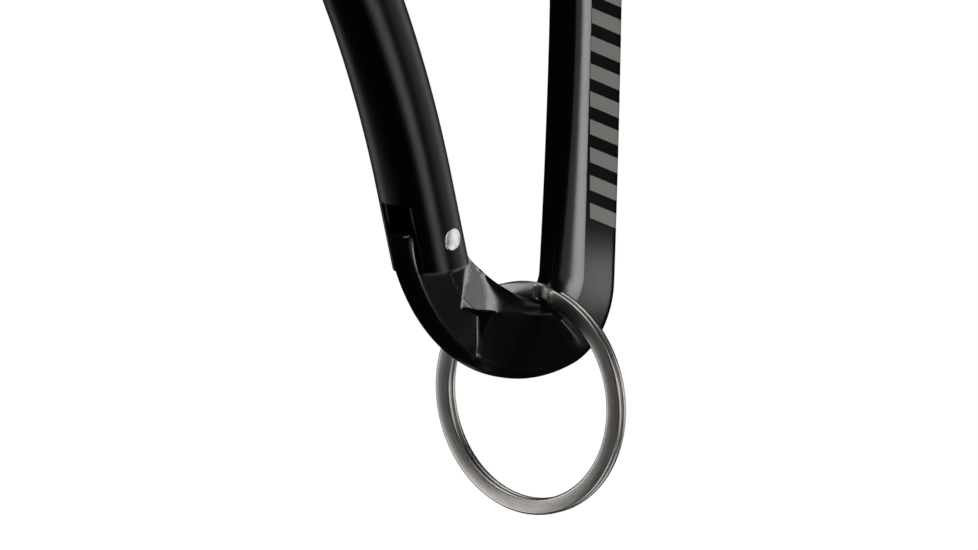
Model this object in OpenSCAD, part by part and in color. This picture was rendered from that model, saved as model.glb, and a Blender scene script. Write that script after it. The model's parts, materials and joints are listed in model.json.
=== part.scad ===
// Key carabiner: a forged T-section frame with a bent, sprung bar gate and a split ring.
// The frame lies in the XZ plane. The origin is the hang point, on the inside of the top bow
// and on the load line, +Z is up, the gate is on the -X side and the front faces -Y.

/* [Frame outline] */
// Drop from the hang point to the seat of the split ring
seat_drop = 59; // [52:0.5:72]
// Outer radius of the heel, where the bottom bow turns up into the spine
heel_r = 8.8; // [7.6:0.1:11]
// Offset of the heel's centre from the load line
heel_x = 4.3; // [3.5:0.1:6]
// Outer radius of the top bow beside the spine
crown_r = 13; // [11:0.5:16]
// Offset of the crown's centre from the load line
crown_x = 1.6; // [1:0.1:4]
// Outer radius of the top bow beside the nose
nose_r = 11; // [9:0.5:14]
// Radius of the outside of the bottom bow
bottom_bow_r = 23; // [20:0.5:30]
// Radius of the outside of the top bow
top_bow_r = 60; // [45:1:90]
// Radius of the long curve of the spine
spine_r = 1200; // [700:50:2000]

/* [Frame section] */
// Thickness of the web
web_t = 3; // [2.5:0.1:3.8]
// Depth of the section where something hangs from it
bow_depth = 8.5; // [7.5:0.1:10]
// Thickness of the bead along the inside of the spine
bead_t = 5; // [4.4:0.1:6]
// Width of the bead on the spine
bead_w = 2.3; // [1.8:0.1:3]
// Thickness of the bows at their thickest
bow_t = 6; // [5.2:0.1:7]
// Radius of the rounded outer rim
rim_round = 1.25; // [0.8:0.05:1.3]

/* [Gate] */
// Distance of the hinge rivet from the load line
hinge_x = 16.5; // [14:0.5:20]
// Height of the hinge rivet above the seat of the split ring
hinge_rise = 9; // [8.5:0.5:11]
// Diameter of the gate bar
gate_d = 8; // [7:0.1:9]
// Straight distance from the hinge rivet to the gate's top end
gate_len = 41; // [34:0.5:50]
// Lean of that straight line from upright
gate_lean = 23.2; // [18:0.2:27]
// Angle of the bend in the gate
gate_bend = 14; // [8:0.5:20]
// Length of the straight stretch at each end of the gate
gate_straight = 6; // [5.5:0.5:9]

/* [Hinge and latch] */
// Diameter of the hinge rivet
rivet_d = 2.4; // [1.8:0.1:2.8]
// Diameter of the latch pin
latch_d = 2; // [1.6:0.1:2.4]
// Distance of the latch pin below the gate's top end
latch_drop = 3; // [2.6:0.1:4]
// Depth of the hinge slot above the rivet
slot_rise = 4.9; // [4.7:0.1:6]
// Diameter of the push pin
plunger_d = 2.2; // [1.8:0.1:2.4]
// Length of the push pin
plunger_len = 5; // [4:0.5:7]
// Offset of the push pin from the gate's axis, towards the spine
plunger_x = 1; // [0.8:0.1:1.2]
// Depth of the spring bore above the hinge slot
spring_bore = 11; // [9:0.5:13]
// Diameter of the spring's wire
spring_wire = 0.35; // [0.25:0.05:0.45]
// Turns in the spring
spring_turns = 9; // [6:1:12]

/* [Split ring] */
// Outer diameter of the split ring
ring_d = 25; // [20:0.5:32]
// Width of the flat wire, measured along the ring's radius
wire_w = 1.75; // [1.4:0.05:2.2]
// Thickness of the flat wire
wire_t = 0.68; // [0.5:0.02:0.9]
// Corner radius of the flat wire
wire_round = 0.22; // [0.1:0.02:0.24]

/* [Clearances] */
// Gap between the frame's end plates and each side of their slots
slot_gap = 0.15; // [0.1:0.05:0.3]
// Radial gap between the hinge rivet and the frame
pivot_gap = 0.05; // [0.02:0.01:0.09]
// Radial gap between the push pin and its bore
plunger_gap = 0.08; // [0.03:0.01:0.1]
// Gap between the gate's top end and the nose
nose_gap = 0.6; // [0.4:0.1:1]
// Gap between the latch pin and its notch
latch_gap = 0.25; // [0.15:0.05:0.4]
// Gap between the split ring and its seat
ring_gap = 0.3; // [0.28:0.02:0.5]
// Gap between the two turns of the split ring
turn_gap = 0.04; // [0.03:0.01:0.1]

/* [Hidden] */
$fn = 96;
gate_r = gate_d / 2;
slot_w = web_t + 2 * slot_gap;

// Angle from one point of the XZ plane to another, and a unit vector at an angle
function bearing(p, q) = atan2(q[1] - p[1], q[0] - p[0]);
function unit(a) = [cos(a), sin(a)];
// The angle a plus whole turns, so that it isn't less than the angle low
function above(a, low) = a + 360 * ceil((low - a) / 360);
// Centre of the arc of radius r that wraps the discs at c1 and c2 and touches both inside
function wrap_centre(c1, r1, c2, r2, r) =
  let(a = r - r1, b = r - r2, d = norm(c2 - c1), u = (c2 - c1) / d)
  let(x = (a * a - b * b + d * d) / (2 * d))
  c1 + u * x + [-u[1], u[0]] * sqrt(a * a - x * x);

// Gate axis: a straight stretch at each end and one arc between them
hinge = [-hinge_x, hinge_rise - seat_drop];
lean_low = gate_lean - gate_bend / 2;
lean_top = gate_lean + gate_bend / 2;
gate_up_low = unit(90 + lean_low);
gate_up_top = unit(90 + lean_top);
gate_top = hinge + gate_len * unit(90 + gate_lean);
gate_tangent = gate_len / 2 / cos(gate_bend / 2) - gate_straight;
gate_arc_r = gate_tangent / tan(gate_bend / 2);
gate_arc_start = hinge + gate_straight * gate_up_low;
gate_arc_centre = gate_arc_start + gate_arc_r * unit(180 + lean_low);
latch = gate_top - latch_drop * gate_up_top;
// The hinge end is cut at a slant, so that its inner side reaches lower
end_drop = 3.7;
end_slant = 10;

// Outer outline of the frame, as arcs [centre, radius, first angle, last angle]
shoulder_r = 2 * gate_r + 0.3;
shoulder = hinge + [shoulder_r - gate_r - 0.4, -0.1];
heel = [heel_x, heel_r - bow_depth - seat_drop + 0.4];
crown = [crown_x, bow_depth + 0.5 - crown_r];
nose_rise = 1.5;
nose_sink = 0.25;
nose = gate_top + nose_rise * gate_up_top + (nose_r - gate_r + nose_sink) * unit(lean_top);
bottom_c = wrap_centre(shoulder, shoulder_r, heel, heel_r, bottom_bow_r);
spine_c = wrap_centre(heel, heel_r, crown, crown_r, spine_r);
top_c = wrap_centre(crown, crown_r, nose, nose_r, top_bow_r);
out_1 = above(bearing(bottom_c, shoulder), 180);
out_2 = above(bearing(bottom_c, heel), out_1);
out_3 = above(bearing(spine_c, heel), out_2);
out_4 = above(bearing(spine_c, crown), out_3);
out_5 = above(bearing(top_c, crown), out_4);
out_6 = above(bearing(top_c, nose), out_5);
out_7 = above(180 + lean_top, out_6);
shoulder_arc = [shoulder, shoulder_r, 180, out_1];
bottom_arc = [bottom_c, bottom_bow_r, out_1, out_2];
heel_arc = [heel, heel_r, out_2, out_3];
spine_arc = [spine_c, spine_r, out_3, out_4];
crown_arc = [crown, crown_r, out_4, out_5];
top_arc = [top_c, top_bow_r, out_5, out_6];
nose_arc = [nose, nose_r, out_6, out_7];

// Inner outline: the ring's seat, the spine, the hang point and the nose
seat_r = 3;
seat = [0, seat_r - seat_drop];
seat_exit = 20;
ramp_r = 35;
ramp_turn = 18.5;
ramp_c = seat + (ramp_r - seat_r) * unit(90 - seat_exit);
hang_r = 4.7;
hang = [0, -hang_r];
inner_spine_r = 230;
inner_top_r = 50;
crotch_r = 4;
crotch = gate_top + (nose_gap + 3.4) * gate_up_top + (gate_r + crotch_r - nose_sink) * unit(lean_top);
inner_spine_c = wrap_centre(seat, seat_r, hang, hang_r, inner_spine_r);
inner_top_c = wrap_centre(hang, hang_r, crotch, crotch_r, inner_top_r);
in_1 = 270 - seat_exit;
in_2 = above(bearing(inner_spine_c, seat), in_1);
in_3 = above(bearing(inner_spine_c, hang), in_2);
in_4 = above(bearing(inner_top_c, hang), in_3);
in_5 = above(bearing(inner_top_c, crotch), in_4);
in_6 = above(180 + lean_top, in_5);
ramp_arc = [ramp_c, ramp_r, in_1 - ramp_turn, in_1];
seat_arc = [seat, seat_r, in_1, in_2];
inner_spine_arc = [inner_spine_c, inner_spine_r, in_2, in_3];
hang_arc = [hang, hang_r, in_3, in_4];
inner_top_arc = [inner_top_c, inner_top_r, in_4, in_5];
crotch_arc = [crotch, crotch_r, in_5, in_6];

// Point at the distance s along a list of arcs that follow on
function arc_len(a) = a[1] * (a[3] - a[2]) * PI / 180;
function arcs_len(arcs, i = 0) = i == len(arcs) ? 0 : arc_len(arcs[i]) + arcs_len(arcs, i + 1);
function point_at(arcs, s, i = 0) =
  s > arc_len(arcs[i]) && i < len(arcs) - 1
    ? point_at(arcs, s - arc_len(arcs[i]), i + 1)
    : arcs[i][0] + arcs[i][1] * unit(arcs[i][2] + (arcs[i][3] - arcs[i][2]) * s / arc_len(arcs[i]));

// Stretches of the frame: outer arcs, inner arc, sections, and the bead's share at each end
stretches = [
  [[shoulder_arc, bottom_arc], ramp_arc, 16, 0, 0],
  [[heel_arc], seat_arc, 12, 0, 3],
  [[spine_arc], inner_spine_arc, 12, 1, 1],
  [[crown_arc], hang_arc, 12, 3, 0],
  [[top_arc], inner_top_arc, 8, 0, 0],
  [[nose_arc], crotch_arc, 6, 0, 0]
];

// Lays a shape drawn in the XY plane, thickness along Z, into the XZ plane
module stand() {
  rotate([90, 0, 0]) children();
}

// Flat plate in the web plane, of thickness t
module plate(t) {
  translate([0, 0, -t / 2]) linear_extrude(t) children();
}

// Closed skin over rings of points, each ring anticlockwise as seen looking along the path;
// each end is closed by a strip between the ring's two halves
function quad(a, b, c, d) = [[a, b, c], [a, c, d]];
module skin(rings) {
  n = len(rings[0]);
  top = (len(rings) - 1) * n;
  polyhedron(
    points = [for (ring = rings) for (p = ring) p],
    faces = concat(
      [for (k = [0 : n : top - n]) for (i = [0 : n - 1])
        each quad(k + i, k + (i + 1) % n, k + n + (i + 1) % n, k + n + i)],
      [for (i = [0 : n / 2 - 2]) each quad(n - 1 - i, n - 2 - i, i + 1, i)],
      [for (i = [0 : n / 2 - 2])
        each quad(top + i, top + i + 1, top + n - 2 - i, top + n - 1 - i)]
    )
  );
}

// Half sections: distance from the edge, and half thickness. The rim is rounded outwards, the
// bead stands up from the web along the spine, the bow slopes from its crest down to the rim.
web_half = web_t / 2 + 0.05;
bow_flat = 1;
rim_half_section = [
  [0, web_half - rim_round], [0.3 * rim_round, web_half - 0.3 * rim_round],
  [rim_round, web_half]
];
bead_half_section = [
  [bead_w + 0.1, web_half], [bead_w, bead_t / 2], [1.1, bead_t / 2],
  [0.32, bead_t / 2 - 0.32], [0, bead_t / 2 - 1.1]
];
bow_half_section = [
  [2.7, bow_t / 2 - 0.1], [2.2, bow_t / 2], [1.6, bow_t / 2],
  [0.5, bow_t / 2 - 0.6], [0, bow_flat]
];
function section(o, i, share) =
  let(d = (i - o) / norm(i - o), g = min(1, share))
  let(half = concat(
    [for (p = rim_half_section) [o + d * p[0], p[1]]],
    [for (k = [0 : 4])
      let(p = g * bead_half_section[k] + (1 - g) * bow_half_section[k])
      [i - d * p[0], p[1]]]
  ))
  concat(
    [for (h = half) [h[0][0], h[0][1], h[1]]],
    [for (k = [len(half) - 1 : -1 : 0]) [half[k][0][0], half[k][0][1], -half[k][1]]]
  );
function stretch_section(t, share) = section(
  point_at(t[0], arcs_len(t[0]) * share), point_at([t[1]], arc_len(t[1]) * share),
  t[3] + (t[4] - t[3]) * share
);
module frame_bar() {
  skin(concat(
    [for (t = stretches) for (k = [0 : t[2] - 1]) stretch_section(t, k / t[2])],
    [stretch_section(stretches[len(stretches) - 1], 1)]
  ));
}

// Frame of a point on the gate: X across towards the spine, Y up along the bar
module at_gate_low() {
  translate([hinge[0], hinge[1], 0]) rotate([0, 0, lean_low]) children();
}

module at_gate_top() {
  translate([gate_top[0], gate_top[1], 0]) rotate([0, 0, lean_top]) children();
}

// Tang of the hinge: it stands in the gate's slot, with a shelf outside and a cam inside
cam_rise = 3;
module tang() {
  inner = gate_r - 0.3;
  at_gate_low()
    plate(web_t)
      polygon([
        [-gate_r, 0], [-gate_r, 1.2], [-gate_r + 0.5, 1.75], [-1.7, 1.75], [-1.3, cam_rise],
        [inner - 0.4, cam_rise], [inner, cam_rise - 0.5], [inner, -end_drop - 0.6],
        [gate_r + 0.4, -end_drop - 1.1], [1, -end_drop - 4.5], [-gate_r + 0.6, -end_drop]
      ]);
}

// Both sides of the frame are milled flat round the gate's end, and ramp up to the bow
ramp_at = 1.75;
ramp_slope = 11;
module hinge_relief() {
  reach = 9;
  flat = web_t / 2 + 0.02;
  translate([hinge[0], hinge[1], 0])
    rotate([0, 0, -12.5])
      translate([gate_r + ramp_at, 0, 0])
        rotate([90, 0, 0])
          translate([0, 0, -12])
            linear_extrude(32)
              polygon([
                [-14, flat], [0, flat], [reach, flat + reach * tan(ramp_slope)],
                [reach, 8], [-14, 8]
              ]);
}

// Nose: a round end in line with the gate, and a hooked plate that enters the gate's slot
notch_r = latch_d / 2 + latch_gap;
hook_len = latch_drop + notch_r + 1.6;
notch_turn = bearing(hinge, latch) - 90 - lean_top;
module nose_end() {
  at_gate_top()
    translate([0, nose_gap, 0])
      rotate([-90, 0, 0]) {
        cylinder(h = 3.2, r = gate_r);
        translate([0, 0, 3.2]) cylinder(h = 2.6, r1 = gate_r, r2 = bow_t / 2 - 0.3);
      }
}

module nose_hook() {
  wide = gate_r - 0.5;
  at_gate_top()
    plate(web_t)
      difference() {
        polygon([
          [-wide, nose_gap + 1.5], [-wide, -hook_len + 1.2], [-wide + 1.2, -hook_len],
          [1.4, -hook_len], [wide - 0.6, -hook_len + 0.6], [wide, -latch_drop],
          [wide, nose_gap + 1.5]
        ]);
        translate([0, -latch_drop])
          rotate(notch_turn) {
            circle(notch_r);
            translate([0, -notch_r]) square([10, 2 * notch_r]);
          }
      }
}

module body() {
  color([0.07, 0.07, 0.08])
    stand()
      difference() {
        union() {
          difference() {
            frame_bar();
            hinge_relief();
            mirror([0, 0, 1]) hinge_relief();
          }
          tang();
          nose_end();
          nose_hook();
        }
        translate([hinge[0], hinge[1], 0])
          cylinder(h = 20, r = rivet_d / 2 + pivot_gap, center = true);
      }
}

// Bent bar with a slot at each end, the rivet and latch holes, and the bore of the push pin
slot_top = hook_len + 0.8;
bore_r = plunger_d / 2 + plunger_gap;
module gate() {
  color([0.09, 0.09, 0.1])
    stand()
      difference() {
        union() {
          at_gate_low()
            translate([0, -end_drop - 2, 0])
              rotate([-90, 0, 0]) cylinder(h = end_drop + 2 + gate_straight, r = gate_r);
          translate([gate_arc_centre[0], gate_arc_centre[1], 0])
            rotate_extrude(angle = gate_bend + 1, start = lean_low - 0.5)
              translate([gate_arc_r, 0]) circle(gate_r - 0.02);
          at_gate_top() rotate([90, 0, 0]) cylinder(h = gate_straight, r = gate_r);
        }
        at_gate_low() {
          translate([0, -end_drop, 0])
            rotate([0, 0, -end_slant]) translate([-20, -20, -20]) cube([40, 20, 40]);
          translate([-10, -20, -slot_w / 2]) cube([20, 20 + slot_rise, slot_w]);
          translate([plunger_x, slot_rise - 0.5, 0])
            rotate([-90, 0, 0]) cylinder(h = spring_bore + 0.5, r = bore_r);
          cylinder(h = 20, r = rivet_d / 2, center = true);
        }
        at_gate_top() {
          translate([-10, -slot_top, -slot_w / 2]) cube([20, slot_top + 10, slot_w]);
          translate([0, -latch_drop, 0]) cylinder(h = 20, r = latch_d / 2, center = true);
        }
      }
}

// Headed pin with low domed ends, lying along Z
module domed_pin(d, proud) {
  intersection() {
    cylinder(h = 3 * gate_d, r = d / 2, center = true);
    sphere(r = gate_r + proud);
  }
}

module hinge_rivet() {
  color([0.85, 0.85, 0.86]) stand() at_gate_low() domed_pin(rivet_d, 0.12);
}

module latch_pin() {
  color([0.85, 0.85, 0.86])
    stand() at_gate_top() translate([0, -latch_drop, 0]) domed_pin(latch_d, 0.05);
}

// Push pin with a chamfered tip that bears on the tang's cam
tip_gap = 0.05;
plunger_tip = cam_rise + tip_gap;
module plunger() {
  r = plunger_d / 2;
  color([0.7, 0.7, 0.72])
    stand()
      at_gate_low()
        translate([plunger_x, plunger_tip, 0])
          rotate([-90, 0, 0])
            rotate_extrude()
              polygon([[0, 0], [r - 0.65, 0], [r, 0.6], [r, plunger_len], [0, plunger_len]]);
}

// Coil spring between the push pin and the blind end of its bore
module return_spring() {
  wire_r = spring_wire / 2;
  low = plunger_tip + plunger_len + wire_r + 0.06;
  high = slot_rise + spring_bore - wire_r - 0.06;
  coil_r = bore_r - wire_r - 0.12;
  steps = 14;
  count = spring_turns * steps;
  color([0.75, 0.75, 0.78])
    stand()
      at_gate_low()
        translate([plunger_x, 0, 0])
          skin([
            for (k = [0 : count])
              let(a = 360 * k / steps, y = low + (high - low) * k / count)
              [for (i = [0 : 7])
                let(out = coil_r + wire_r * cos(45 * i))
                [out * sin(a), y + wire_r * sin(45 * i), out * cos(a)]]
          ]);
}

// Split ring: one flat wire wound twice, with a jog of one wire thickness where the turns swap
ring_r = ring_d / 2;
ring_inner_r = ring_r - wire_w;
pitch = wire_t + turn_gap;
jog_from = 6;
jog_turn = 12;
ring_rise = seat_r - sqrt(seat_r * seat_r - pitch * pitch)
  + ring_inner_r - sqrt(ring_inner_r * ring_inner_r - bow_flat * bow_flat) + ring_gap;
ring_z = ring_rise - seat_drop - ring_inner_r;
function jog(a) =
  let(t = min(1, max(0, (a - jog_from - 360) / jog_turn)))
  pitch * (0.5 - t * t * (3 - 2 * t));
function wire_section() = [
  for (c = [[1, 1], [1, -1], [-1, -1], [-1, 1]])
    let(x = wire_t / 2 - wire_round, y = wire_w / 2 - wire_round)
    for (a = c[0] * c[1] > 0 ? [67.5, 22.5] : [22.5, 67.5])
      [c[0] * (x + wire_round * cos(a)), c[1] * (y + wire_round * sin(a))]
];
module split_ring() {
  first = jog_from + jog_turn;
  last = jog_from + 720;
  count = 160;
  section = wire_section();
  color([0.78, 0.78, 0.78])
    translate([0, 0, ring_z])
      skin([
        for (k = [0 : count])
          let(a = first + (last - first) * k / count)
          [for (p = section)
            let(r = ring_r - wire_w / 2 + p[1])
            [jog(a) + p[0], -r * sin(a), r * cos(a)]]
      ]);
}

body();
gate();
hinge_rivet();
plunger();
return_spring();
latch_pin();
split_ring();
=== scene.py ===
"""A small snap-gate carabiner with a split ring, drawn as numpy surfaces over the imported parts.

Outlines lie in the XZ plane and are worked out in millimetres. Y is the thickness."""

import json

import bpy
import numpy as np
from bpy.props import FloatProperty, FloatVectorProperty, IntProperty, PointerProperty
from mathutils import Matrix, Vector


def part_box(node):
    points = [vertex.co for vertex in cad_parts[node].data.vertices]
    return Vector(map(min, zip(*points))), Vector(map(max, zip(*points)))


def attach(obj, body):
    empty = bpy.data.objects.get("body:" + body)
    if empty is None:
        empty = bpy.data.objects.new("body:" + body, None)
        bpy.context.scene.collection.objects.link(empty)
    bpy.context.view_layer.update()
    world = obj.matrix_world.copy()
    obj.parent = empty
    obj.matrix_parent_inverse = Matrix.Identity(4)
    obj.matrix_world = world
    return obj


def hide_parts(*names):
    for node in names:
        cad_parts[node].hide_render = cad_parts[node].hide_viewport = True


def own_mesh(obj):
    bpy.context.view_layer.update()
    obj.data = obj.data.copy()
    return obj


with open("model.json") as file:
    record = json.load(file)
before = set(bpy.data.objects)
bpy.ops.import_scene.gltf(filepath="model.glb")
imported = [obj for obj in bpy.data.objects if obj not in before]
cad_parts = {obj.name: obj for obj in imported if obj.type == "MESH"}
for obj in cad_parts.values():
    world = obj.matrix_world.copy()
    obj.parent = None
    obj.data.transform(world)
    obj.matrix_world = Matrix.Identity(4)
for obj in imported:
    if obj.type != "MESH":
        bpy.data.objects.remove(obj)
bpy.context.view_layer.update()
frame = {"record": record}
JOINTS = {joint["name"]: joint for joint in frame["record"]["behaviour"]["joints"]}

bl_info = {
    "name": "Carabiner Keyring",
    "version": (1, 0, 0),
    "blender": (4, 5, 0),
    "location": "View3D > Sidebar > Carabiner",
    "description": "Builds a snap-gate carabiner with a split ring",
    "category": "Object",
}

MM = 0.001


# ---------------------------------------------------------------- sizes and colours


def length(name, default, description):
    """A length property in metres, with its default given in millimetres."""
    return FloatProperty(
        name=name, description=description, default=default * MM, unit="LENGTH", precision=5
    )


def colour(name, default, description):
    """A colour property, linear."""
    return FloatVectorProperty(
        name=name, description=description, default=default, size=3, subtype="COLOR",
        min=0.0, max=1.0,
    )


def angle(name, degrees, description):
    """An angle property in radians, with its default given in degrees."""
    return FloatProperty(
        name=name, description=description, default=np.radians(degrees), subtype="ANGLE"
    )


class OutlineSizes(bpy.types.PropertyGroup):
    seat_drop: length("Seat drop", 59, "From the hang point down to the split ring's seat")
    heel_r: length("Heel radius", 8.8, "Outer radius where the bottom bow turns up")
    heel_x: length("Heel offset", 4.3, "Offset of the heel's centre from the load line")
    crown_r: length("Crown radius", 13, "Outer radius of the top bow beside the spine")
    crown_x: length("Crown offset", 1.6, "Offset of the crown's centre from the load line")
    nose_r: length("Nose radius", 11, "Outer radius of the top bow beside the nose")
    bottom_bow_r: length("Bottom bow radius", 23, "Radius of the outside of the bottom bow")
    top_bow_r: length("Top bow radius", 60, "Radius of the outside of the top bow")
    spine_r: length("Spine radius", 1200, "Radius of the long curve of the spine")
    inner_spine_r: length("Inner spine radius", 230, "Radius of the inside of the spine")


class SectionSizes(bpy.types.PropertyGroup):
    web_half: length("Half web", 1.55, "Half the thickness of the web")
    bow_depth: length("Bow depth", 8.5, "Depth of the section under a load")
    bead_half: length("Half bead", 2.5, "Half the thickness of the bead on the spine")
    bead_w: length("Bead width", 2.4, "Width of the bead at the top of the spine")
    bead_foot_w: length("Bead foot width", 3.8, "Width of the bead at the heel")
    bow_half: length("Half bow", 3.0, "Half the thickness of the bows")
    rim_round: length("Rim rounding", 1.25, "Radius of the rounded outer rim")
    ramp_at: length("Ramp distance", 5.42, "From the rivet to the foot of the hinge ramp")
    ramp_slope: angle("Ramp slope", 20.5, "Slope of the ramp between the hinge and the bow")
    ramp_turn: angle("Ramp turn", 10.5, "Turn of the ramp's foot in the frame's plane")
    ramp_end: length("Ramp end", 7.3, "Along the ramp's foot, from the rivet to its lower end")
    step_at: length("Step distance", 6.75, "From the rivet to the step below the ramp")
    ridge_turn: angle("Ridge turn", 9.8, "Fall of the ridge between the ramp and the bow's face")


class GateSizes(bpy.types.PropertyGroup):
    bar_d: length("Bar diameter", 8, "Diameter of the gate bar")
    bar_len: length("Bar length", 41, "Straight distance from the rivet to the top end")
    lean: angle("Lean", 23.2, "Lean of that line from upright")
    bend: angle("Bend", 14, "Angle of the bend in the bar")
    straight: length("Straight ends", 6, "Length of the straight stretch at each end")
    slot_half: length("Half slot", 1.65, "Half the width of the slots")
    slot_rise: length("Slot rise", 4.9, "Depth of the hinge slot above the rivet")
    top_slot: length("Top slot", 6.65, "Depth of the slot in the top end")
    deburr: length("Deburring", 0.4, "Radius broken on the slot's edges")
    end_drop: length("End drop", 3.7, "Length of the cheeks below the rivet")
    end_slant: angle("End slant", 10, "Slant of the hinge end")
    latch_drop: length("Latch drop", 3, "From the top end down to the latch pin")
    nose_gap: length("Nose gap", 0.6, "Gap between the gate's top end and the nose")


class RingSizes(bpy.types.PropertyGroup):
    wire_w: length("Wire width", 1.75, "Width of the wire along the ring's radius")
    wire_t: length("Wire thickness", 0.68, "Thickness of the flat wire")
    wire_round: length("Wire rounding", 0.2, "Corner radius of the flat wire")
    crown: FloatProperty(
        name="Crown", description="Share of the thickness lost at the wire's edges", default=0.2)
    sag: length("Sag", 0.3, "How far the ring hangs below its middle place")
    shift: length("Shift", 0.4, "How far the ring has slid towards the front")
    turn: angle("Turn", 2, "Turn of the ring about the load line")
    twist: angle("Twist", -9, "Largest twist of the wire about its own line")
    twist_at: angle("Twist start", 15, "Where the wire is not twisted, from the top")
    turn_gap: length("Turn gap", 0.04, "Gap between the two turns")
    jog_from: angle("Jog start", 6, "Where the turns start to swap, from the top")
    jog_turn: angle("Jog length", 12, "Angle over which the turns swap")


class SpringSizes(bpy.types.PropertyGroup):
    wire: length("Wire", 0.35, "Diameter of the spring's wire")
    turns: IntProperty(name="Turns", description="Turns in the spring", default=9, min=3, max=20)
    pin_x: length("Pin offset", 1, "Offset of the push pin from the gate's axis")
    pin_r: length("Pin radius", 1.1, "Radius of the push pin")
    pin_len: length("Pin length", 5, "Length of the push pin")
    pin_rise: length("Pin rise", 3.05, "From the rivet up to the foot of the push pin")
    bore_r: length("Bore radius", 1.18, "Radius of the blind bore in the gate")
    bore_top: length("Bore top", 11, "From the hinge slot up to the end of the bore")
    seat_gap: length("Seat gap", 0.06, "Gap at each end of the spring")
    wall_gap: length("Wall gap", 0.12, "Gap between the spring and its bore")


class Finishes(bpy.types.PropertyGroup):
    black: colour("Black", (0.0022, 0.0022, 0.0023), "Anodised frame")
    gate_black: colour("Gate black", (0.006, 0.0048, 0.0056), "Anodised gate")
    bars: colour("Bars", (0.34, 0.33, 0.3), "Printed bars on the spine")
    steel: colour("Steel", (0.74, 0.71, 0.67), "Plated split ring")
    rivet: colour("Rivet", (0.85, 0.85, 0.85), "Peened rivet heads")
    floor: colour("Floor", (0.9, 0.9, 0.9), "Studio floor")


class StageSizes(bpy.types.PropertyGroup):
    view_azimuth: angle("View azimuth", -49, "Direction of the camera round the object")
    view_elevation: angle("View elevation", 10, "Height of the camera above the horizon")
    view_distance: length("View distance", 1500, "Distance of the camera")
    view_width: length("View width", 102.5, "Width seen at the object")
    view_right: length("View shift", 6.74, "From the rivet to the middle of the view, sideways")
    view_down: length("View drop", 4.19, "From the rivet down to the middle of the view")
    floor_r: length("Floor radius", 8000, "Radius of the floor")
    floor_drop: length("Floor drop", 250, "From the hang point down to the floor")


# ---------------------------------------------------------------- plane geometry


def unit(a):
    """Unit vectors (cos a, sin a) for an angle or an array of angles."""
    return np.stack([np.cos(a), np.sin(a)], axis=-1)


def bearing(p, q):
    """Angle of the line from p to q."""
    return np.arctan2(q[1] - p[1], q[0] - p[0])


def above(a, low):
    """The angle a plus whole turns, so that it isn't less than low."""
    return a + 2 * np.pi * np.ceil((low - a) / (2 * np.pi))


def wrap_centre(c1, r1, c2, r2, r):
    """Centre of the arc of radius r that wraps two discs: it is r - r1 from one centre, r - r2
    from the other, on the left of the line between them."""
    a, b = r - r1, r - r2
    d = np.linalg.norm(c2 - c1)
    u = (c2 - c1) / d
    x = (a * a - b * b + d * d) / (2 * d)
    return c1 + u * x + np.array([-u[1], u[0]]) * np.sqrt(a * a - x * x)


def chain_of_arcs(discs, wraps, first, last):
    """Arcs (centre, radius, first angle, last angle) that go round the discs anticlockwise.
    wraps[k] is the radius between disc k and disc k + 1; None joins them with no arc."""
    centres = [wrap_centre(a[0], a[1], b[0], b[1], r) for a, b, r in zip(discs, discs[1:], wraps)]
    arcs, at = [], first
    for k, (centre, radius) in enumerate(discs):
        end = last if k == len(wraps) else bearing(centres[k], centre)
        end = above(end, at)
        arcs.append((centre, radius, at, end))
        if k < len(wraps):
            nxt = above(bearing(centres[k], discs[k + 1][0]), end)
            arcs.append((centres[k], wraps[k], end, nxt))
            at = nxt
    return arcs


def along_arcs(arcs, share):
    """Points at the given shares, 0 to 1, of the whole length of a chain of arcs."""
    lengths = np.array([r * (b - a) for _, r, a, b in arcs])
    starts = np.concatenate([[0], np.cumsum(lengths)])
    s = np.clip(share, 0, 1) * starts[-1]
    k = np.clip(np.searchsorted(starts, s, side="right") - 1, 0, len(arcs) - 1)
    c = np.array([a[0] for a in arcs])[k]
    r = np.array([a[1] for a in arcs])[k]
    a0 = np.array([a[2] for a in arcs])[k]
    return c + r[:, None] * unit(a0 + (s - starts[k]) / r)


def along_line(points, s):
    """Points at the distances s along a broken line."""
    points = np.asarray(points, float)
    at = np.concatenate([[0], np.cumsum(np.linalg.norm(np.diff(points, axis=0), axis=1))])
    return np.stack([np.interp(s, at, points[:, i]) for i in (0, 1)], axis=-1)


def soft_min(a, b, k):
    """Smaller of a and b, with the corner between them rounded over the width k."""
    h = np.clip(0.5 + 0.5 * (b - a) / k, 0, 1)
    return b + (a - b) * h - k * h * (1 - h)


def smooth(t):
    """3 t^2 - 2 t^3 between 0 and 1, level outside."""
    t = np.clip(t, 0, 1)
    return t * t * (3 - 2 * t)


def sizes(group):
    """The values of a property group by name, lengths in millimetres."""
    scene_group = getattr(bpy.context.scene, group)
    out = {}
    for key, prop in scene_group.bl_rna.properties.items():
        if key in ("rna_type", "name"):
            continue
        value = getattr(scene_group, key)
        out[key] = value / MM if prop.unit == "LENGTH" else value
    return type("Sizes", (), out)


def gate_line():
    """The gate's axis: rivet, leans, top end, and the arc between the straight ends."""
    g = sizes("gate_sizes")
    hinge = np.array(JOINTS["gate_hinge"]["pos_m"], float)[[0, 2]] / MM
    g.hinge, g.low, g.top = hinge, g.lean - g.bend / 2, g.lean + g.bend / 2
    g.low_across, g.low_up = unit(g.low), unit(g.low + np.pi / 2)
    g.top_across, g.top_up = unit(g.top), unit(g.top + np.pi / 2)
    g.end = hinge + g.bar_len * unit(g.lean + np.pi / 2)
    tangent = g.bar_len / 2 / np.cos(g.bend / 2) - g.straight
    g.arc_r = tangent / np.tan(g.bend / 2)
    g.arc_c = hinge + g.straight * g.low_up - g.arc_r * g.low_across
    g.arc_len = g.arc_r * g.bend
    g.total = 2 * g.straight + g.arc_len
    g.r = g.bar_d / 2
    return g


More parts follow.
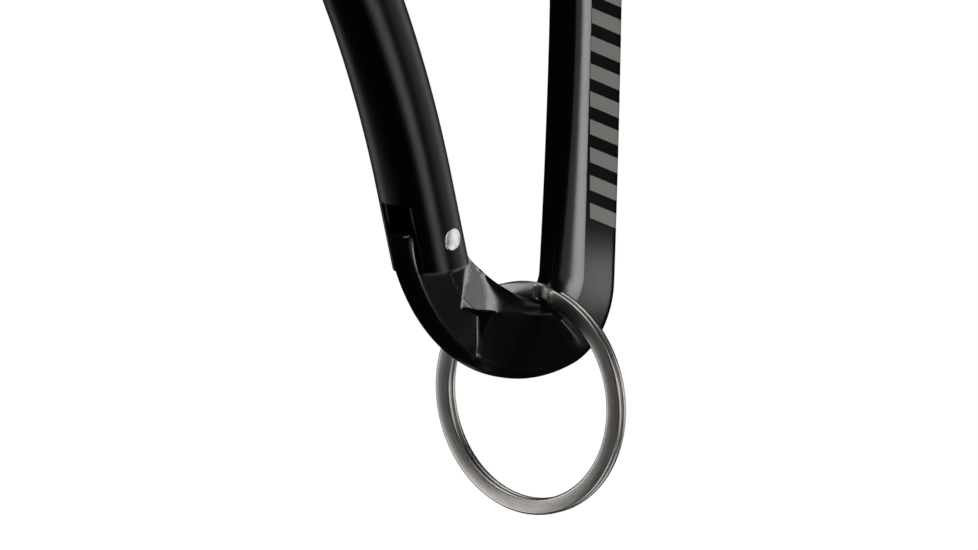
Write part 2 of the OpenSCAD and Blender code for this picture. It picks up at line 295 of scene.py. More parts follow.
def gate_stations(g, s):
    """Centre and across direction of the bar at the distances s from the rivet."""
    turn = np.clip(s - g.straight, 0, g.arc_len) / g.arc_r
    across = unit(g.low + turn)
    up = unit(g.low + turn + np.pi / 2)
    on_arc = g.arc_c + g.arc_r * across
    extra = np.minimum(s - g.straight, 0) + np.maximum(s - g.straight - g.arc_len, 0)
    return on_arc + extra[:, None] * up, across


# ---------------------------------------------------------------- mesh building


def ring_faces(n, m, start=0):
    """Quads between n rings of m points each, closed round the ring."""
    k, i = np.meshgrid(np.arange(n - 1), np.arange(m), indexing="ij")
    j = (i + 1) % m
    quads = np.stack([k * m + i, k * m + j, (k + 1) * m + j, (k + 1) * m + i], axis=-1)
    return (quads + start).reshape(-1, 4)


def tube(rings):
    """A closed shell over rings of points (n, m, 3), each end closed by a fan."""
    n, m, _ = rings.shape
    verts = np.concatenate([rings.reshape(-1, 3), [rings[0].mean(0), rings[-1].mean(0)]])
    i = np.arange(m)
    j = (i + 1) % m
    first = np.stack([np.full(m, n * m), j, i], axis=-1)
    last = np.stack([np.full(m, n * m + 1), (n - 1) * m + i, (n - 1) * m + j], axis=-1)
    return outward(verts, [ring_faces(n, m), first, last])


def outward(verts, faces):
    """Turns every face round if the shell's signed volume, the sum of p0 . (p1 x p2), is negative."""
    tris = np.concatenate([f[:, [0, k, k + 1]] for f in faces for k in range(1, f.shape[1] - 1)])
    p = verts[tris] - verts.mean(0)
    volume = np.einsum("ij,ij->i", p[:, 0], np.cross(p[:, 1], p[:, 2])).sum()
    return verts, [f[:, ::-1] for f in faces] if volume < 0 else faces


def slab(outline, half, round_edge):
    """A flat plate round the XZ outline, from -half to half in Y, its edges broken: the outline
    is moved in along its own normals by round_edge at both faces."""
    outline = np.asarray(outline, float)
    edge = np.roll(outline, -1, axis=0) - outline
    edge /= np.linalg.norm(edge, axis=1, keepdims=True)
    normal = np.stack([-edge[:, 1], edge[:, 0]], axis=-1)
    mitre = normal + np.roll(normal, 1, axis=0)
    mitre /= np.maximum((mitre * mitre).sum(1, keepdims=True) / 2, 0.35)
    x, z = outline.T
    inwards = np.sign((x * np.roll(z, -1) - z * np.roll(x, -1)).sum()) * mitre
    inner = outline + round_edge * inwards
    mid = (outline + inner) / 2 - 0.2 * round_edge * inwards
    levels = [(inner, -half), (mid, -half + 0.3 * round_edge), (outline, -half + round_edge),
              (outline, half - round_edge), (mid, half - 0.3 * round_edge), (inner, half)]
    rings = np.stack([lift(o, np.full(len(o), y)) for o, y in levels])
    n, m, _ = rings.shape
    caps = [np.arange(m)[None, ::-1], np.arange(m)[None] + (n - 1) * m]
    return outward(rings.reshape(-1, 3), [ring_faces(n, m)] + caps)


def lift(xz, y):
    """XZ points with their Y."""
    return np.stack([xz[..., 0], np.broadcast_to(y, xz.shape[:-1]), xz[..., 1]], axis=-1)


def lathe(profile, origin, axis, count=96):
    """A profile of (radius, height) turned about the axis through the origin; both ends of the
    profile lie on or near the axis."""
    profile = np.asarray(profile, float)
    w = np.asarray(axis, float) / np.linalg.norm(axis)
    u = np.cross(w, [0.3, 1, 0.2] if abs(w[1]) < 0.9 else [1, 0, 0])
    u /= np.linalg.norm(u)
    v = np.cross(w, u)
    a = np.linspace(0, 2 * np.pi, count, endpoint=False)
    circle = np.cos(a)[:, None] * u + np.sin(a)[:, None] * v
    rings = np.asarray(origin) + profile[:, 0, None, None] * circle + profile[:, 1, None, None] * w
    return tube(rings)


def piece(name, shells, body, node, slot, material, sharp=38, **point_values):
    """One object from closed shells in millimetres, riding a body in place of a CAD node."""
    verts, faces, start = [], [], 0
    for v, fs in shells:
        verts.append(v)
        faces += [row for f in fs for row in (f + start).tolist()]
        start += len(v)
    mesh = bpy.data.meshes.new(name)
    mesh.from_pydata(np.concatenate(verts) * MM, [], faces)
    mesh.validate()
    mesh.shade_smooth()
    mesh.set_sharp_from_angle(angle=np.radians(sharp))
    for key, values in point_values.items():
        values = np.concatenate([values, np.zeros(len(mesh.vertices) - len(values))])
        layer = mesh.attributes.new(key, "FLOAT", "POINT")
        layer.data.foreach_set("value", values.astype(np.float32))
    mesh.materials.append(material)
    thing = bpy.data.objects.new(name, mesh)
    bpy.context.scene.collection.objects.link(thing)
    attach(thing, body)
    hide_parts(node)
    return thing


# ---------------------------------------------------------------- shader maths


class Value:
    """A node socket with arithmetic: each operator adds one Math node."""

    def __init__(self, owner, socket):
        self.owner, self.socket = owner, socket

    def __getitem__(self, output):
        return Value(self.owner, self.socket.node.outputs[output])

    def maths(self, operation, *others):
        return self.owner.node("ShaderNodeMath", {"operation": operation}, *others)

    def __add__(self, other):
        return self.maths("ADD", self, other)

    def __sub__(self, other):
        return self.maths("SUBTRACT", self, other)

    def __rsub__(self, other):
        return self.maths("SUBTRACT", other, self)

    def __mul__(self, other):
        return self.maths("MULTIPLY", self, other)

    def __truediv__(self, other):
        return self.maths("DIVIDE", self, other)

    def __rtruediv__(self, other):
        return self.maths("DIVIDE", other, self)

    def __gt__(self, other):
        return self.maths("GREATER_THAN", self, other)

    def __lt__(self, other):
        return self.maths("LESS_THAN", self, other)

    __radd__ = __add__
    __rmul__ = __mul__


class Nodes:
    """A node tree whose sockets are set to a number or a colour, or linked from a Value."""

    def __init__(self, tree):
        self.tree = tree

    def put(self, socket, value):
        if isinstance(value, Value):
            self.tree.links.new(value.socket, socket)
        elif value is not None:
            socket.default_value = (*value, 1.0) if (
                socket.type == "RGBA" and len(value) == 3) else value

    def node(self, kind, settings=None, *ordered, **named):
        """Any node: its settings first, then its sockets in order or by name."""
        made = self.tree.nodes.new(kind)
        for key, value in (settings or {}).items():
            setattr(made, key, value)
        for socket, value in zip(made.inputs, ordered):
            self.put(socket, value)
        for key, value in named.items():
            self.put(made.inputs[key.replace("_", " ")], value)
        return Value(self, made.outputs[0])


class Finish(Nodes):
    """A material with one Principled shader, whose sockets are set or linked by name."""

    def __init__(self, name):
        self.material = bpy.data.materials.new(name)
        self.material.use_nodes = True
        super().__init__(self.material.node_tree)
        self.tree.nodes.clear()
        out = self.tree.nodes.new("ShaderNodeOutputMaterial")
        self.shader = self.tree.nodes.new("ShaderNodeBsdfPrincipled")
        self.tree.links.new(self.shader.outputs[0], out.inputs[0])

    def set(self, **named):
        for key, value in named.items():
            self.put(self.shader.inputs[key.replace("_", " ")], value)
        return self

    def source(self, name):
        """What the shader's socket is linked from so far."""
        return Value(self, self.shader.inputs[name].links[0].from_socket)

    def dot(self, vector, direction):
        return self.node("ShaderNodeVectorMath", {"operation": "DOT_PRODUCT"}, vector,
                         direction)["Value"]

    def place(self):
        return self.node("ShaderNodeTexCoord")["Object"]

    def scaled(self, vector, scale):
        return self.node("ShaderNodeMapping", None, vector, None, None, scale)

    def noise(self, vector, scale, detail=3.0, rough=0.55):
        return self.node("ShaderNodeTexNoise", None, Vector=vector, Scale=scale, Detail=detail,
                         Roughness=rough)

    def blend(self, share, a, b):
        """Colour a where share is 0, colour b where it is 1."""
        mix = self.node("ShaderNodeMix", {"data_type": "RGBA"}, Factor=share).socket.node
        self.put(mix.inputs[6], a)
        self.put(mix.inputs[7], b)
        return Value(self, mix.outputs[2])

    def step(self, value, low, high):
        """0 below low, 1 above high, smooth between."""
        return self.node("ShaderNodeMapRange", {"interpolation_type": "SMOOTHSTEP"}, value, low,
                         high, 0.0, 1.0)

    def bump(self, height, strength, distance):
        return self.node("ShaderNodeBump", None, Strength=strength, Distance=distance,
                         Height=height)


def anodised(name, base, rough, grain, scuffs):
    """Satin black: fine blasted grain as bump, cloudy gloss, and a few long faint scuffs."""
    f = Finish(name)
    at = f.place()
    cloud = f.noise(at, 160.0, 4.0)
    fine = f.noise(at, 5200.0, 2.0)
    lines = f.noise(f.scaled(at, (900.0, 900.0, 60.0)), 1.0, 2.0)
    scuff = f.step(lines, 0.66, 0.72) * scuffs
    f.set(
        Base_Color=f.blend(cloud, base, tuple(1.5 * c for c in base)),
        Roughness=rough + cloud * 0.05 + fine * 0.03 + scuff * 0.12,
        Metallic=0.0,
        Normal=f.bump(fine, grain, 0.00002),
    )
    f.put(f.shader.inputs["Specular IOR Level"], 0.45)
    f.put(f.shader.inputs["IOR"], 1.6)
    return f


# ---------------------------------------------------------------- pieces


def frame_outlines(g):
    """Arcs of the frame: outer arcs, inner arcs, and the ramp's arc that leads into the seat."""
    o, s = sizes("outline_sizes"), sizes("section_sizes")
    sink, nose_rise = 0.25, 1.5
    shoulder_r = 2 * g.r + 0.3
    shoulder = g.hinge + [shoulder_r - g.r - 0.4, -0.1]
    heel = np.array([o.heel_x, o.heel_r - s.bow_depth - o.seat_drop + 0.4])
    crown = np.array([o.crown_x, s.bow_depth + 0.5 - o.crown_r])
    nose = g.end + nose_rise * g.top_up + (o.nose_r - g.r + sink) * g.top_across
    first = np.radians(175.4)
    outer = chain_of_arcs(
        [(shoulder, shoulder_r), (heel, o.heel_r), (crown, o.crown_r), (nose, o.nose_r)],
        [o.bottom_bow_r, o.spine_r, o.top_bow_r], first, np.pi + g.top,
    )
    seat_r, hang_r, crotch_r, ramp_r, inner_top_r = 3.0, 4.7, 4.0, 35.0, 50.0
    seat, hang = np.array([0, seat_r - o.seat_drop]), np.array([0, -hang_r])
    crotch = g.end + (g.nose_gap + 3.4) * g.top_up + (g.r + crotch_r - sink) * g.top_across
    leave, ramp_span = np.radians(250), np.radians(18.5)
    inner = chain_of_arcs(
        [(seat, seat_r), (hang, hang_r), (crotch, crotch_r)], [o.inner_spine_r, inner_top_r],
        leave, np.pi + g.top,
    )
    ramp_c = seat + (ramp_r - seat_r) * unit(leave - np.pi)
    ramp = [(ramp_c, ramp_r, leave - ramp_span, leave)]
    return outer, inner, ramp


def frame_sections(g):
    """Outer point, inner point, bead share, end inset and foot share of every section of the
    frame."""
    outer, inner, ramp = frame_outlines(g)
    c, r, a, b = outer[0]
    tip = (np.pi - a) * r
    turn = 0.5
    e = np.concatenate([turn * (1 - np.cos(np.linspace(0.02, np.pi / 2, 12))),
                        np.linspace(turn, tip, 4)[1:]])
    inset = turn - np.sqrt(np.maximum(turn**2 - np.maximum(turn - e, 0) ** 2, 0))
    start = along_arcs(ramp, np.array([0.0]))[0]
    corner = [g.hinge + p * g.low_across + q * g.low_up for p, q in ((3.6, 1.75), (3.75, -4.2))]
    line = np.array([*corner, start])
    line_len = np.linalg.norm(np.diff(line, axis=0), axis=1).sum()
    reach = np.concatenate([e[:12], np.linspace(turn, line_len, 4)[1:]])
    parts = [(along_arcs([(c, r, a, a + tip / r)], e / tip), along_line(line, reach),
              0 * e, inset)]
    stretches = [
        ([(c, r, np.pi, b), outer[1]], ramp, 130, 0, 0),
        ([outer[2]], [inner[0]], 70, 0, 4),
        ([outer[3]], [inner[1]], 110, 1, 1),
        ([outer[4]], [inner[2]], 70, 3, 0),
        ([outer[5]], [inner[3]], 80, 0, 0),
        ([outer[6]], [inner[4]], 50, 0, 0),
    ]
    for outs, ins, count, g0, g1 in stretches:
        share = np.linspace(0, 1, count + 1)[1:]
        parts.append((along_arcs(outs, share), along_arcs(ins, share),
                      smooth(np.minimum(g0 + (g1 - g0) * share, 1)), 0 * share))
    out, inn, bead, inset = (np.concatenate([p[k] for p in parts]) for k in range(4))
    foot_z, foot_len = -57, 24
    foot = (1 - np.clip((inn[:, 1] - foot_z) / foot_len, 0, 1)) ** 2
    return out, inn, bead, inset, foot


def frame_bar(g):
    """The frame: a half thickness T carried along the outline. From the rim, T rises on a quarter
    circle to the web. From the window, T rises on a quarter circle to the crest of the bead, or on
    a quarter ellipse to the crest of the bow, then falls to the web on a smooth step, or to the
    rim on a straight slope. Beside the hinge T is held down to a flat with a ramp: the ramp ends
    at a ridge, and under the ridge the flat ends at a small step. The bead's quarter circle is
    the first part of one that is longer by the factor cut, so its crest still slopes a little."""
    s = sizes("section_sizes")
    out, inn, bead, inset, foot = frame_sections(g)
    wide = np.linalg.norm(inn - out, axis=1)
    inward = (inn - out) / wide[:, None]
    h, rr, flat = s.web_half, s.rim_round, s.web_half - 0.03
    crest, ridge_max, bead_fall, cut = 2.2, 4.4, 0.45, 1.9
    ridge_fall, ridge_rise, step_rise, crisp, soft = 1.6, 4, 1.2, 0.06, 0.5

    ramp_n, ramp_up = unit(-s.ramp_turn), np.tan(s.ramp_slope)
    corner = g.hinge + ramp_n * s.ramp_at + unit(-s.ramp_turn - np.pi / 2) * s.ramp_end
    down = unit(-s.ridge_turn - np.pi / 2)
    ridge = ((corner - inn) @ down) / np.maximum((-inward) @ down, 0.3)
    hinge_side = smooth((3.0 - inn[:, 0]) / 3.0) * (inn[:, 1] < g.hinge[1])
    ridge = np.clip(ridge, crest, ridge_max) * hinge_side + crest * (1 - hinge_side)
    bead_w = s.bead_w + (s.bead_foot_w - s.bead_w) * foot
    line = ridge + (bead_w - ridge) * bead
    top_at = inn - inward * ridge[:, None]
    top = np.minimum(flat + np.maximum((top_at - g.hinge) @ ramp_n - s.ramp_at, 0) * ramp_up,
                     s.bow_half)
    top = s.bow_half + (top - s.bow_half) * hinge_side

    share = bead[:, None]
    bead_r, bead_round = (bead_w - 0.3)[:, None], 1.15 + 0.9 * foot[:, None]
    quarter = np.linspace(0, np.pi / 2, 11)
    near = rr * (1 - np.cos(quarter))
    ends = [line + 1.1, line + 0.2, line - 0.4]
    round_end = np.minimum(bead_r[:, 0], ends[2] - 0.1)
    spread = lambda a, b, n: a[:, None] + (b - a)[:, None] * np.linspace(0, 1, n)[:-1]
    far = np.concatenate([
        spread(ends[0], ends[1], 7), spread(ends[1], ends[2], 14),
        spread(ends[2], round_end, 5), round_end[:, None] * (1 - np.sin(quarter)),
    ], axis=1)
    start = np.full(len(wide), near[-1])
    at = np.concatenate([
        np.broadcast_to(near[:-1], (len(wide), len(near) - 1)),
        spread(start, wide - ends[0], 26), wide[:, None] - far,
    ], axis=1)
    d = wide[:, None] - at

    def arc(r, depth):
        return np.sqrt(np.maximum(r**2 - np.maximum(r - depth, 0) ** 2, 0))

    rim = h - rr + arc(rr, at)
    long_r = cut * bead_r
    bead_top = arc(long_r, np.minimum(d, bead_r)) / arc(long_r, bead_r)
    bead_top = s.bead_half - bead_round * (1 - bead_top)
    bead_t = h + (bead_top - h) * (1 - smooth((d - bead_r) / bead_fall))
    bow_top = 1 + (s.bow_half - 1) * arc(crest, d) / crest
    slope = h + (at - rr) * ((top - h) / (wide - ridge - rr))[:, None]
    slope = slope + ridge_rise * np.maximum(ridge[:, None] - d, 0) * hinge_side[:, None]
    bow_t = soft_min(bow_top, slope, 0.12)
    t = np.where(at < rr, rim, bead_t * share + bow_t * (1 - share))
    points = out[:, None] + inward[:, None] * at[..., None]
    past = (points - g.hinge) @ ramp_n - s.ramp_at
    below = np.where(hinge_side[:, None] > 0, (points - corner) @ down, 0)
    ramp = flat + np.maximum(past, 0) * ramp_up
    step = flat + step_rise * np.maximum(points[..., 0] - g.hinge[0] - s.step_at, 0)
    blend = crisp + soft * smooth((past - 1.5) / 2)
    below = np.maximum(below, 0)
    upper = soft_min(t, ramp - ridge_fall * below, blend)
    lower = soft_min(t, np.minimum(step, ramp + ridge_rise * below), blend)
    held = np.maximum(upper, lower)
    t = np.where(hinge_side[:, None] > 0, held, t)
    t = np.maximum(t - inset[:, None], 0.05)
    squeeze = inset[:, None] * (1 - 2 * at / wide[:, None])
    points = points + inward[:, None] * squeeze[..., None]
    front, back = lift(points, -t), lift(points, t)[:, ::-1]
    return tube(np.concatenate([front, back], axis=1))


def nose_shells(g):
    """The nose: a turned end in line with the bar, and a plate with a hooked notch."""
    axis = np.array([g.top_up[0], 0, g.top_up[1]])
    origin = np.array([g.end[0], 0, g.end[1]])
    gap = g.nose_gap
    profile = [(0.01, gap), (2, gap), (g.r - 0.4, gap), (g.r - 0.15, gap + 0.1), (g.r, gap + 0.4),
               (g.r, gap + 2.4), (g.r - 0.07, gap + 3.2), (g.r - 0.3, gap + 4),
               (g.r - 0.7, gap + 4.9), (g.r - 1.3, gap + 5.7), (1.8, gap + 6.3), (0.01, gap + 6.6)]
    turned = lathe(smooth_profile(profile, 60, 3), origin, axis)
    notch_r, hook, w = 1.25, 1.6, 3.5
    low = g.latch_drop + notch_r + hook
    turn = bearing(g.hinge, g.end - g.latch_drop * g.top_up) - np.pi / 2 - g.top
    notch = unit(np.linspace(1.5, 0.5, 15) * np.pi + turn) * notch_r
    centre = np.array([0, -g.latch_drop])
    mouth_low, mouth_up = (
        centre + p + unit(turn) * (w - p[0]) / np.cos(turn) for p in (notch[0], notch[-1]))
    outline = np.array([
        [-w, gap + 1.5], [-w, -low + 1.2], [-w + 0.35, -low + 0.35], [-w + 1.2, -low], [1.4, -low],
        [w - 0.6, -low + 0.6], [w, -low + 1.2], mouth_low, *(centre + notch), mouth_up,
        [w, gap + 1.5],
    ])
    plane = g.end + outline[:, :1] * g.top_across + outline[:, 1:] * g.top_up
    return [turned, slab(plane, 1.5, 0.15)]


def smooth_profile(points, count, passes):
    """A broken profile resampled evenly and eased by averaging neighbours, ends kept."""
    points = np.asarray(points, float)
    at = np.concatenate([[0], np.cumsum(np.linalg.norm(np.diff(points, axis=0), axis=1))])
    s = np.linspace(0, at[-1], count)
    p = np.stack([np.interp(s, at, points[:, i]) for i in (0, 1)], axis=-1)
    for _ in range(passes):
        p[1:-1] = (p[:-2] + 2 * p[1:-1] + p[2:]) / 4
    return p


def cam_shell(g):
    """The cam on the tang, under the push pin."""
    outline = np.array([[-1.9, 0.5], [-1.75, 1.9], [-1.3, 2.8], [-1.0, 3.0], [3.2, 3.0],
                        [3.5, 2.8], [3.65, 2.4], [3.6, 0.5]])
    plane = g.hinge + outline[:, :1] * g.low_across + outline[:, 1:] * g.low_up
    return slab(plane, 1.45, 0.12)


def cheek(g, s, side, inset, shear):
    """Rings of a cheek: a circular segment outside the slot, its corners rounded, moved in by
    inset. shear moves each point along the bar by that much for each millimetre across."""
    corner = g.deburr
    r = g.r - inset
    y = g.slot_half + inset + corner
    p = np.sqrt(np.maximum((r - corner) ** 2 - y * y, 0))
    lean = np.arctan2(y, p)
    t = np.linspace(0, 1, 9)
    turn = -np.pi / 2 + (lean + np.pi / 2)[:, None] * t
    right = np.stack([p[:, None] + corner * np.cos(turn), y[:, None] + corner * np.sin(turn)], -1)
    arc_a = lean[:, None] + (np.pi - 2 * lean)[:, None] * np.linspace(0, 1, 60)[1:-1]
    arc = np.stack([r[:, None] * np.cos(arc_a), r[:, None] * np.sin(arc_a)], -1)
    left = right[:, ::-1] * [-1, 1]
    chord_x = p[:, None] * np.linspace(-0.8, 0.8, 5)
    chord = np.stack([chord_x, np.broadcast_to((y - corner)[:, None], chord_x.shape)], -1)
    ring = np.concatenate([right, arc, left, chord], axis=1)
    across = ring[..., 0]
    station = s[:, None] + shear[:, None] * across
    centre, out = gate_stations(g, station.ravel())
    flat = (centre + across.reshape(-1, 1) * out).reshape(*across.shape, 2)
    return tube(lift(flat, side * ring[..., 1]))


def gate_bar(g):
    """The bar: circles of the bar's radius carried along its bent axis, with the radius drawn in
    a little at the slot's two ends where the slot meets it, and a pair of cheeks at each end."""
    first, last = g.slot_rise, g.total - g.top_slot
    fine = g.deburr * (1 - np.cos(np.linspace(0, np.pi / 2, 8)))
    s = np.concatenate([first + fine, np.linspace(first + 0.6, last - 0.6, 90), last - fine[::-1]])
    a = np.linspace(0, 2 * np.pi, 128, endpoint=False)
    edge = np.minimum(s - first, last - s)
    drawn = g.deburr - np.sqrt(np.maximum(g.deburr**2 - np.maximum(g.deburr - edge, 0) ** 2, 0))
    in_slot = 1 - smooth((np.abs(g.r * np.sin(a)) - g.slot_half + 0.1) / 0.25)
    r = g.r - drawn[:, None] * in_slot
    centre, out = gate_stations(g, s)
    flat = centre[:, None] + (r * np.cos(a))[..., None] * out[:, None]
    shells = [tube(lift(flat, r * np.sin(a)))]
    turn = 0.3
    e = turn * (1 - np.cos(np.linspace(0.05, np.pi / 2, 10)))
    inset = turn - np.sqrt(np.maximum(turn**2 - (turn - e) ** 2, 0))
    low = np.concatenate([-g.end_drop + e, np.linspace(-g.end_drop + 0.6, first, 12)])
    shear = -np.tan(g.end_slant) * np.clip((first - low) / (first + g.end_drop), 0, 1)
    high = np.concatenate([np.linspace(last, g.total - 0.6, 12), g.total - e[::-1]])
    for side in (-1, 1):
        shells.append(cheek(g, low, side, np.append(inset, np.zeros(12)), shear))
        shells.append(cheek(g, high, side, np.append(np.zeros(12), inset[::-1]), 0 * high))
    return shells


def pin_shell(centre, r, half, dome):
    """A cross pin along Y with peened heads: a low dome, its edge turned over on a small radius."""
    t = np.linspace(0, 1, 16)
    rim = 0.18
    edge = np.linspace(0, np.pi / 2, 8)
    head_r = np.concatenate([t[:-1] * (r - rim), r - rim + rim * np.sin(edge)])
    head_r[0] = 0.01
    head_h = np.concatenate([half + dome * (1 - t[:-1] ** 2), half - rim + rim * np.cos(edge)])
    profile = np.concatenate([np.stack([head_r, head_h], -1),
                              np.stack([head_r, -head_h], -1)[::-1]])
    return lathe(profile, (centre[0], 0, centre[1]), (0, 1, 0), 64)


def ring_wire():
    """The split ring: a rounded flat section carried twice round a circle in the YZ plane. Its X is
    half a pitch, falling on a smooth step to minus half a pitch where the turns swap. The section
    thins towards its edges by the crown, twists as the sine of the angle from the twist's start,
    and is drawn in at the wire's two ends. Then the whole ring is turned, slid and let down.
    With the shell come the distance along the wire and the share of the way round the section."""
    s = sizes("ring_sizes")
    low, high = (np.array(c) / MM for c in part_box("split_ring"))
    centre_z, ring_r = (low[2] + high[2]) / 2, (high[1] - low[1]) / 2
    pitch = s.wire_t + s.turn_gap
    a = np.linspace(s.jog_from + s.jog_turn, s.jog_from + 4 * np.pi, 760)
    x0 = pitch * (0.5 - smooth((a - s.jog_from - 2 * np.pi) / s.jog_turn))
    corner = np.linspace(0, np.pi / 2, 7)
    hx, hr, c = s.wire_t / 2, s.wire_w / 2, s.wire_round
    quarter = np.stack([hx - c + c * np.cos(corner), hr - c + c * np.sin(corner)], -1)
    side = np.linspace(-0.85, 0.85, 9)
    flat = np.full(9, 1.0)
    section = np.concatenate([
        quarter, np.stack([-side * (hx - c), hr * flat], -1),
        quarter[::-1] * [-1, 1], np.stack([-hx * flat, -side * (hr - c)], -1),
        -quarter, np.stack([side * (hx - c), -hr * flat], -1),
        quarter[::-1] * [1, -1], np.stack([hx * flat, side * (hr - c)], -1),
    ])
    section *= np.stack([1 - s.crown * (section[:, 1] / hr) ** 2,
                         1 - 0.4 * s.crown * (section[:, 0] / hx) ** 2], -1)
    twist = s.twist * np.sin(a - s.twist_at)[:, None]
    end = np.minimum(a - a[0], a[-1] - a) * ring_r
    drawn = 0.12 * (1 - smooth(end / 0.15))[:, None]
    px, pr = section[:, 0] * (1 - drawn / hx), section[:, 1] * (1 - drawn / hr)
    px, pr = px * np.cos(twist) - pr * np.sin(twist), px * np.sin(twist) + pr * np.cos(twist)
    r = ring_r - hr + pr
    x = x0[:, None] + px
    y = -r * np.sin(a)[:, None]
    z = centre_z - s.sag + r * np.cos(a)[:, None]
    turn_x, turn_y = unit(s.turn)
    rings = np.stack([x * turn_x - y * turn_y, x * turn_y + y * turn_x - s.shift, z], -1)
    around = np.broadcast_to(np.linspace(0, 1, len(section)), px.shape)
    distance = np.broadcast_to((a * ring_r)[:, None], px.shape)
    return tube(rings), distance.ravel(), around.ravel()


def spring_wire(g):
    """A round wire carried on a helix along the bar's lower straight, its pitch eased by a sine.
    With the shell come the heights of its two ends above the rivet."""
    s = sizes("spring_sizes")
    base_low = s.pin_rise + s.pin_len + s.wire / 2 + s.seat_gap
    base_high = g.slot_rise + s.bore_top - s.wire / 2 - s.seat_gap
    coil = s.bore_r - s.wire / 2 - s.wall_gap
    t = np.linspace(0, 1, s.turns * 24 + 1)
    a = 2 * np.pi * s.turns * t
    eased = t + 0.055 * np.sin(2 * np.pi * t) / np.pi
    up = base_low + (base_high - base_low) * (0.85 * eased + 0.15 * t)
    b = np.linspace(0, 2 * np.pi, 10, endpoint=False)
    out = coil + s.wire / 2 * np.cos(b)
    across = s.pin_x + out * np.sin(a)[:, None]
    y = -out * np.cos(a)[:, None]
    along = up[:, None] + s.wire / 2 * np.sin(b)
    flat = g.hinge + across[..., None] * g.low_across + along[..., None] * g.low_up
    return tube(lift(flat, y)), base_low, base_high


def push_pin_shell(g):
    """The push pin: a straight pin turned about its axis, its foot rounded on a quarter ellipse
    and its top edge broken."""
    s = sizes("spring_sizes")
    flat, round_h = s.pin_r - 0.65, 0.62
    nose = np.linspace(0, np.pi / 2, 10)
    foot_r, foot_h = flat + 0.65 * np.sin(nose), round_h * (1 - np.cos(nose))
    top = [(s.pin_r, s.pin_len - 0.2), (s.pin_r - 0.06, s.pin_len - 0.06),
           (s.pin_r - 0.2, s.pin_len), (0.01, s.pin_len)]
    foot = g.hinge + s.pin_x * g.low_across + s.pin_rise * g.low_up
    axis = (g.low_up[0], 0, g.low_up[1])
    return lathe([(0.01, 0), *zip(foot_r, foot_h), *top], (foot[0], 0, foot[1]), axis, 48)


# ---------------------------------------------------------------- finishes


def frame_finish(c):
    """Anodised black with slanted printed bars on the web of the spine."""
    f = anodised("frame_black", tuple(c.black), 0.19, 0.3, 0.3)
    at = f.place()
    axes = f.node("ShaderNodeSeparateXYZ", None, at)
    x, y, z = axes["X"] / MM, axes["Y"] / MM, axes["Z"] / MM
    pitch, slant = 3.0, 0.4
    row = (z + x * slant) / pitch
    cell = row.maths("FLOOR", row)
    part = row - cell
    bar = f.step(part, 0.02, 0.05) * (1 - f.step(part, 0.56, 0.59))
    rows = cell > -16.5
    across = f.step(x, 8.25, 8.37) * (1 - f.step(x - z * 0.018, 14.1, 14.25))
    thin = f.node("ShaderNodeMath", {"operation": "ABSOLUTE"}, y) < 1.62
    mask = bar * rows * across * thin * (z < -8.0)
    print_grain = f.noise(at, 2600.0, 3.0)
    tone = f.blend(print_grain, tuple(c.bars), tuple(1.25 * v for v in c.bars))
    f.set(
        Base_Color=f.blend(mask, f.source("Base Color"), tone),
        Roughness=f.source("Roughness") + mask * 0.25,
    )
    return f.material


def gate_finish(c, g):
    """Anodised black with fine drawn lines along the bar, and a patchy painted highlight along its
    lower lip.
    """
    f = anodised("gate_black", tuple(c.gate_black), 0.3, 0.25, 0.3)
    at = f.place()
    turned = f.node("ShaderNodeMapping", None, at, None, (0.0, g.lean, 0.0), (1500.0, 1500.0, 25.0))
    drawn = f.noise(turned, 1.0, 2.0)
    up = f.dot(at, (g.low_up[0], 0, g.low_up[1])) / MM - float(g.hinge @ g.low_up)
    across = f.dot(at, (g.low_across[0], 0, g.low_across[1])) / MM - float(g.hinge @ g.low_across)
    # Painted highlight: a pale patchy band along the hinge end's lower lip stands in for light caught
    # on its rounding.
    lip = 1 - f.step(up + across * float(np.tan(g.end_slant)), 0.35 - g.end_drop, 0.5 - g.end_drop)
    lip_highlight = lip * f.step(f.noise(at, 700.0, 2.0), 0.3, 0.5)
    rough = f.source("Roughness")
    f.set(Base_Color=f.blend(lip_highlight, f.source("Base Color"), (0.7, 0.68, 0.66)),
          Roughness=rough + drawn * 0.1 - 0.05)
    return f.material


def steel_finish(name, base, rough, streak, grain=0.05):
    """Plated steel with drawn streaks that follow the wire, or plain grain without them."""
    f = Finish(name)
    if streak:
        along = f.node("ShaderNodeAttribute", {"attribute_name": "along"})["Fac"]
        around = f.node("ShaderNodeAttribute", {"attribute_name": "around"})["Fac"]
        at = f.node("ShaderNodeCombineXYZ", None, along * 0.22, around * 70.0, 0.0)
        lines = f.noise(at, 1.0, 3.0, 0.5)
    else:
        at = f.place()
        lines = f.noise(at, 1500.0, 3.0)
    cloud = f.noise(f.place(), 420.0, 3.0)
    dark = tuple(0.72 * v for v in base)
    f.set(
        Base_Color=f.blend(f.step(lines * 0.7 + cloud * 0.3, 0.35, 0.65), dark, base),
        Metallic=1.0,
        Roughness=rough + lines * 0.12,
        Normal=f.bump(lines, grain, 0.00003),
    )
    return f.material


# ---------------------------------------------------------------- operators


class CARABINER_OT_frame(bpy.types.Operator):
    """Builds the frame with its tang, cam, nose and hook"""

    bl_idname = "carabiner.frame"
    bl_label = "Frame"

    def execute(self, context):
        g = gate_line()
        shells = [frame_bar(g), cam_shell(g), *nose_shells(g)]
        piece("frame_forging", shells, "frame", "body", "frame", frame_finish(sizes("finishes")))
        return {"FINISHED"}


class CARABINER_OT_gate(bpy.types.Operator):
    """Builds the bent gate bar"""

    bl_idname = "carabiner.gate"
    bl_label = "Gate"

    def execute(self, context):
        g = gate_line()
        piece("gate_bar", gate_bar(g), "gate", "gate", "gate", gate_finish(sizes("finishes"), g))
        return {"FINISHED"}


